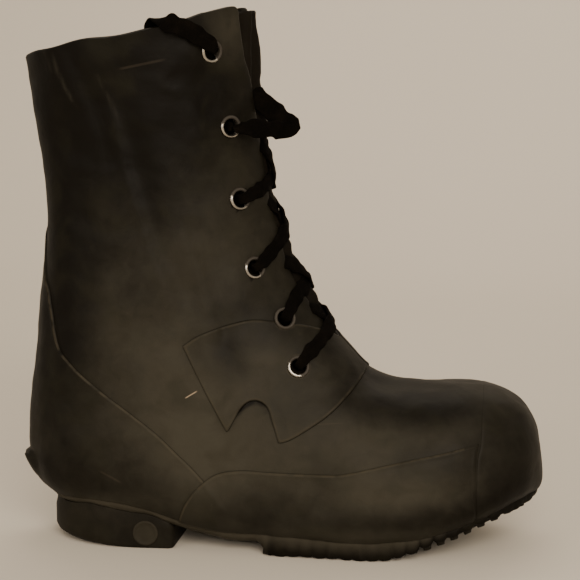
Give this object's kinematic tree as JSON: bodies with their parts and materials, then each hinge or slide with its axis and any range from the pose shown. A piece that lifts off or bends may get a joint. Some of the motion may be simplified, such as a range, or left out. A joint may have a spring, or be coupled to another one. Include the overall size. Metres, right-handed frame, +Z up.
{
  "type": "insulated rubber boot",
  "caption": "Tall insulated rubber winter boot for the right foot, with a bulbous toe, separate heel block, ribbed forefoot tread and a laced throat.",
  "frame": {"origin": "middle of the boot's box in plan, on the ground plane", "axes": "+X towards the toe, +Y towards the inner (medial) side, +Z up"},
  "size_m": [0.3293, 0.1235, 0.3355],
  "materials": {
    "black_rubber": "satin moulded rubber, lightly scuffed and dusty",
    "sole_rubber": "matt sole rubber",
    "eyelet_steel": "plated steel eyelets, slightly dulled",
    "grey_felt": "grey felt footbed",
    "black_lace": "flat woven cotton lace"
  },
  "bodies": {
    "root": {"upper": "black_rubber", "outsole": "sole_rubber", "heel_block": "sole_rubber", "tongue": "black_rubber", "insole": "grey_felt", "toe_cap": "black_rubber", "heel_counter": "black_rubber", "sidewall_lateral": "sole_rubber", "sidewall_medial": "sole_rubber", "eyelet_patch_lateral": "black_rubber", "eyelet_patch_medial": "black_rubber", "eyelet_lateral_1": "eyelet_steel", "eyelet_lateral_2": "eyelet_steel", "eyelet_lateral_3": "eyelet_steel", "eyelet_lateral_4": "eyelet_steel", "eyelet_lateral_5": "eyelet_steel", "eyelet_lateral_6": "eyelet_steel", "eyelet_medial_1": "eyelet_steel", "eyelet_medial_2": "eyelet_steel", "eyelet_medial_3": "eyelet_steel", "eyelet_medial_4": "eyelet_steel", "eyelet_medial_5": "eyelet_steel", "eyelet_medial_6": "eyelet_steel", "lace_crossing_1": "black_lace", "lace_crossing_2": "black_lace", "lace_crossing_3": "black_lace", "lace_crossing_4": "black_lace", "lace_bar_medial": "black_lace", "lace_loop": "black_lace", "lace_collar_end": "black_lace"}
  },
  "joints": []
}
